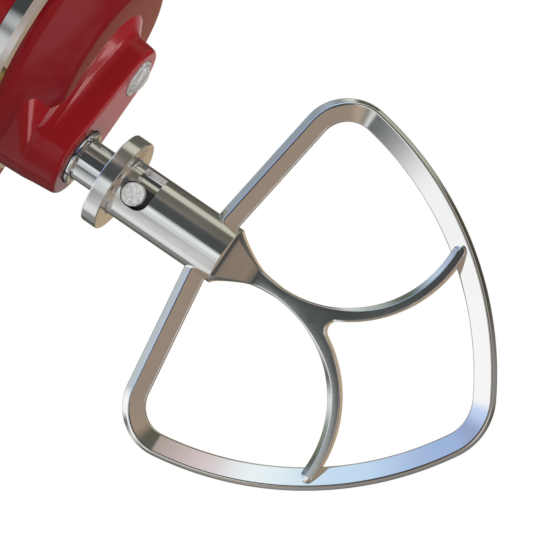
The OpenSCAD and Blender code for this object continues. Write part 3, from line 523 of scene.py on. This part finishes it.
# Height above the lower face, with the radii round the planetary's centre and round the beater shaft.
LOBE_ROWS = [(0, 8.6, 12.9), (0, 11.4, 16.1), (8.6, 12.6, 16.9), (13, 20.6, 17.5), (24, 46, 18)]


def lobe_ring(z, centre_r, lobe_r, count=240):
    ring = []
    for i in range(count):
        turn = 2 * math.pi * i / count
        x, y = math.cos(turn), math.sin(turn)
        on_lobe = x * LOBE[0] + y * LOBE[1] + lobe_r > centre_r
        ring.append((LOBE[0] + lobe_r * x, LOBE[1] + lobe_r * y) if on_lobe else (centre_r * x, centre_r * y))
    return [at_planetary(x, y, z) for x, y in ring]


def disc_tool(x, y, radius, low, high):
    turns = [math.radians(3 * i) for i in range(120)]
    ring = [(x + radius * math.cos(turn), y + radius * math.sin(turn)) for turn in turns]
    return make_piece("tool", *stack([[at_planetary(a, b, z) for a, b in ring] for z in (low, high)]))


def make_planetary():
    rows = rounded(LOBE_ROWS, [0, 2.3, 2.2, 3, 0], 12)
    bridge = make_piece("planetary_bridge", *stack([lobe_ring(*row) for row in rows]), sharp=40)
    for tool in (disc_tool(0, 0, 7.6, -1, 2), disc_tool(*LOBE, 11, -1, 30)):
        cut(bridge, tool, sharp=40)
    corners = [(12, 8.1), (12, 32), (24.8, 52.2), (32.8, 52.2), (32.8, 49), (37.8, 49), (37.8, 8.1)]
    profile = rounded(corners, [0, 2, 3, 0.6, 0, 0.4, 0], 5)
    skirt = turned_piece("planetary_skirt", profile, lambda z, x, y: at_planetary(x, y, z), 144, sharp=40)
    for piece in (bridge, skirt):
        finish_piece(piece, "planetary", "paint", "planetary_housing")


def make_ring_segments():
    """The segmented ring that holds the shaft's seal."""
    profile = rounded([(-18.9, 8.5), (-18.9, 10.4), (-17.6, 10.4), (-17.6, 8.5)], 0.25, 2)
    points, faces = [], []
    for i in range(8):
        more, sides = stack(turned(profile, at_beater, 10, 45 * i + 4, 45 * i + 41))
        faces += [tuple(k + len(points) for k in side) for side in sides]
        points += more
    finish_piece(make_piece("shaft_ring", points, faces, sharp=30), "beater_shaft", "chrome", "retaining_ring")


def make_pin_painted_shadow():
    """A black pad round the pin, bent over the shaft at the bottom of the hub's slot: painted shadow that stands in
    for the shade in the slot round the pin.
    """
    rings = []
    for i in range(25):
        turn = math.radians(-40 + 69 * i / 24)
        rings.append([at_beater(s, r * math.sin(turn), r * math.cos(turn))
                      for s, r in ((1.5, 7.9), (1.5, 8.04), (13, 8.04), (13, 7.9))])
    finish_piece(make_piece("pin_washer", *stack(rings)), "beater_shaft", "rubber")


def make_centre_cap():
    """The stepped end of the planetary's own shaft, in its recess."""
    corners = [(2.2, 0), (2.2, 7.2), (-0.4, 7.2), (-0.7, 6.3), (0.6, 5.9), (0.6, 5.3), (-1.5, 5),
               (-2.2, 3.6), (-2.6, 0)]
    profile = rounded(corners, [0, 0, 0.35, 0.35, 0.2, 0.2, 0.6, 2, 0], 4)
    cap = turned_piece("centre_cap", profile, lambda z, x, y: at_planetary(x, y, z), 96, sharp=30)
    finish_piece(cap, "planetary", "chrome")


make_planetary()
make_ring_segments()
make_pin_painted_shadow()
make_centre_cap()


# ---------- studio ----------
def tone(red, green, blue):
    """A colour of 0-255 as light."""
    return tuple((c / 255) ** 2.2 for c in (red, green, blue)) + (1,)


# What polished surfaces reflect. Directions are given as on the picture: an angle away from the camera's side, and
# an angle round it with 0 to the right and 90 up. Each ring runs round from -180; the rings blend into each other.
SLATE = (69, 72, 72)
INNER_RING = [
    (-180, (255, 255, 255)), (-155, (250, 252, 252)), (-143, (104, 108, 108)), (-136, (212, 215, 214)),
    (-127, (146, 140, 130)), (-116, (176, 157, 141)), (-95, (150, 135, 122)), (-20, (152, 136, 123)),
    (30, (155, 138, 122)), (55, (94, 93, 82)), (72, (93, 92, 82)), (79, (190, 174, 168)),
    (84, (216, 200, 202)), (92, (240, 250, 253)), (105, (200, 226, 250)),
    (120, (160, 184, 226)), (145, (150, 168, 206)), (164, (195, 213, 252)), (176, (250, 252, 253)),
]
SIDE_RING = [
    (-180, (255, 255, 255)), (-150, (246, 246, 246)), (-135, (222, 224, 224)), (-110, (150, 150, 146)),
    (-64, (158, 148, 136)), (-44, (255, 255, 255)), (-24, (255, 255, 255)), (-4, (150, 146, 140)),
    (45, (190, 186, 172)), (66, (204, 200, 186)), (84, (120, 126, 120)),
    (100, (106, 116, 115)), (116, (160, 168, 178)), (134, (140, 152, 162)), (158, (186, 194, 200)),
    (170, (250, 254, 254)),
]
OUTER_RING = [
    (-180, (215, 222, 220)), (-168, (110, 108, 105)), (-152, (205, 206, 202)), (-135, (122, 124, 122)),
    (-106, (158, 152, 148)), (-85, (128, 127, 125)), (-40, (122, 121, 119)), (-22, (88, 90, 88)),
    (-2, (134, 133, 132)), (18, (64, 62, 58)), (34, (74, 75, 68)), (44, (168, 172, 158)), (58, (168, 170, 158)),
    (63, (92, 92, 80)), (84, (92, 94, 84)), (93, (210, 216, 208)), (104, (170, 178, 174)),
    (122, (92, 104, 92)), (137, (188, 206, 226)),
    (145, (170, 185, 208)), (155, (92, 100, 88)), (168, (130, 140, 126)),
]
RIM = (94, 92, 87)
BACK = (180, 160, 134)
# Where each layer starts and is full, in degrees from the camera's side.
LAYERS = [(36, 44, INNER_RING), (74, 84, SIDE_RING), (101, 109, OUTER_RING), (126, 138, RIM), (158, 166, BACK)]
# Soft patches in front: angles down the shaft and across to the nose, radius, softness, colour.
PATCHES = [
    (32, -3, 18, 6, (160, 141, 124)),
    (-9, -36, 15, 4, (208, 211, 210)),
    (-8.5, -15, 8, 4, (238, 244, 244)),
]


class Sky:
    """Node-building helpers for the world."""

    def __init__(self, nodes, links):
        self.nodes, self.links = nodes, links
        self.look = nodes.new("ShaderNodeTexCoord").outputs["Generated"]

    def along(self, direction):
        node = self.nodes.new("ShaderNodeVectorMath")
        node.operation = "DOT_PRODUCT"
        node.inputs[1].default_value = direction
        self.links.new(self.look, node.inputs[0])
        return node.outputs["Value"]

    def math(self, operation, *values):
        node = self.nodes.new("ShaderNodeMath")
        node.operation = operation
        for socket, value in zip(node.inputs, values):
            self.links.new(value, socket)
        return node.outputs["Value"]

    def step(self, value, low, high, shape="SMOOTHSTEP"):
        node = self.nodes.new("ShaderNodeMapRange")
        node.interpolation_type = shape
        node.inputs["From Min"].default_value = low
        node.inputs["From Max"].default_value = high
        self.links.new(value, node.inputs["Value"])
        return node.outputs["Result"]

    def ring(self, turn, stops):
        node = self.nodes.new("ShaderNodeValToRGB")
        ramp = node.color_ramp
        ramp.interpolation = "EASE"
        while len(ramp.elements) > 1:
            ramp.elements.remove(ramp.elements[-1])
        ramp.elements[0].position = 0
        ramp.elements[0].color = tone(*stops[0][1])
        for angle, colour in stops[1:] + [(180, stops[0][1])]:
            ramp.elements.new((angle + 180) / 360).color = tone(*colour)
        self.links.new(turn, node.inputs["Fac"])
        return node.outputs["Color"]

    def mix(self, factor, first, second):
        node = self.nodes.new("ShaderNodeMix")
        node.data_type = "RGBA"
        self.links.new(factor, node.inputs["Factor"])
        for socket, value in (("A", first), ("B", second)):
            if isinstance(value, tuple):
                node.inputs[socket].default_value = value
            else:
                self.links.new(value, node.inputs[socket])
        return node.outputs["Result"]


def make_world():
    """A white room for the camera and for matt light; for reflections, the surroundings of the rings above."""
    world = bpy.data.worlds.new("studio")
    bpy.context.scene.world = world
    world.use_nodes = True
    sky = Sky(world.node_tree.nodes, world.node_tree.links)
    right, up, near = sky.along((0, -1, 0)), sky.along((0, 0, 1)), sky.along((-1, 0, 0))
    turn = sky.step(sky.math("ARCTAN2", up, right), -math.pi, math.pi, "LINEAR")
    away = sky.math("ARCCOSINE", near)
    colour = tone(*SLATE)
    for s, w, radius, soft, tint in PATCHES:
        centre = (DOWN * math.tan(math.radians(s)) + ACROSS * math.tan(math.radians(w)) + LEFT).normalized()
        low, high = math.cos(math.radians(radius + soft)), math.cos(math.radians(radius - soft))
        edge = sky.step(sky.along(centre), low, high)
        colour = sky.mix(edge, colour, tone(*tint))
    for first, last, layer in LAYERS:
        layer = sky.ring(turn, layer) if isinstance(layer, list) else tone(*layer)
        colour = sky.mix(sky.step(away, math.radians(first), math.radians(last)), colour, layer)
    glossy = sky.nodes.new("ShaderNodeLightPath").outputs["Is Glossy Ray"]
    background = sky.nodes["Background"]
    sky.links.new(sky.mix(glossy, (1, 1, 1, 1), colour), background.inputs["Color"])
    background.inputs["Strength"].default_value = 1.0


def make_floor():
    """A round pale floor that fades into the room's white, and that polished surfaces don't mirror."""
    steps, radii = 96, (0, 0.4, 0.8, 1.4, 2.2, 3.2)
    rings = [[Vector((r * math.cos(2 * math.pi * i / steps), r * math.sin(2 * math.pi * i / steps), 0))
              for i in range(steps)] for r in radii]
    points, faces = stack(rings)
    floor = make_piece("floor", points, faces[:-2])
    floor.visible_glossy = False
    recipe = Recipe("floor", (0.9, 0.9, 0.9), 0.7)
    recipe.vary_colour(1.5, (0.88, 0.88, 0.88))
    recipe.shader.inputs["Specular IOR Level"].default_value = 0.2
    nodes, links = recipe.nodes, recipe.links
    away = nodes.new("ShaderNodeVectorMath")
    away.operation = "LENGTH"
    links.new(recipe.place, away.inputs[0])
    fade = nodes.new("ShaderNodeMapRange")
    fade.interpolation_type = "SMOOTHSTEP"
    fade.inputs["From Min"].default_value = 0.55
    fade.inputs["From Max"].default_value = 2.4
    links.new(away.outputs["Value"], fade.inputs["Value"])
    white = nodes.new("ShaderNodeEmission")
    mix = nodes.new("ShaderNodeMixShader")
    links.new(fade.outputs["Result"], mix.inputs["Fac"])
    links.new(recipe.shader.outputs["BSDF"], mix.inputs[1])
    links.new(white.outputs["Emission"], mix.inputs[2])
    links.new(mix.outputs["Shader"], nodes["Material Output"].inputs["Surface"])
    floor.data.materials.append(recipe.material)


# Lamps that only some of the red pieces see: direction on the picture, distance, length, width, strength, colour.
PAINT_LAMPS = {
    "fillet": ((-34, 96), 0.7, 0.8, 0.4, 6, (1, 0.76, 0.74)),
    "crease": ((-34, 50), 0.7, 0.8, 0.2, 2, (1, 0.8, 0.76)),
    "underside": ((-34, 168), 0.7, 0.6, 0.6, 0.36, (0.8, 0.84, 1)),
}


def make_paint_lamps():
    """Narrow highlights along the planetary's edges and a cool sheen on its lower face."""
    seen_by = bpy.data.collections.new("planetary_enamel")
    seen_by.objects.link(bpy.data.objects["planetary_bridge"])
    for name, ((turn, away), distance, length, width, strength, colour) in PAINT_LAMPS.items():
        turn, away = math.radians(turn), math.radians(away)
        toward = Vector((-math.cos(away), -math.sin(away) * math.cos(turn), math.sin(away) * math.sin(turn)))
        along = (ACROSS - toward * ACROSS.dot(toward)).normalized()
        data = bpy.data.lights.new("lamp_" + name, "AREA")
        data.shape = "RECTANGLE"
        data.size, data.size_y = length, width
        data.energy = strength * math.pi * length * width
        data.color = colour
        lamp = bpy.data.objects.new("lamp_" + name, data)
        bpy.context.scene.collection.objects.link(lamp)
        aim = Matrix((along, toward.cross(along), toward)).transposed().to_4x4()
        lamp.matrix_world = Matrix.Translation(at_beater(-PLANET_GAP, 17, 8) + toward * distance) @ aim
        lamp.visible_camera = False
        lamp.light_linking.receiver_collection = seen_by


def mirror_only_the_studio():
    """Polished parts mirror the beater, its shaft, the cap and the studio, and not the red head or its inside."""
    mirrored = ("beater", "shaft_ring", "pin_washer", "flat_beater", "retaining_ring", "centre_cap")
    for item in bpy.data.objects:
        if item.type == "MESH" and not item.name.startswith(mirrored):
            item.visible_glossy = False


make_world()
make_floor()
make_paint_lamps()
mirror_only_the_studio()
bpy.context.scene.view_settings.view_transform = "Standard"
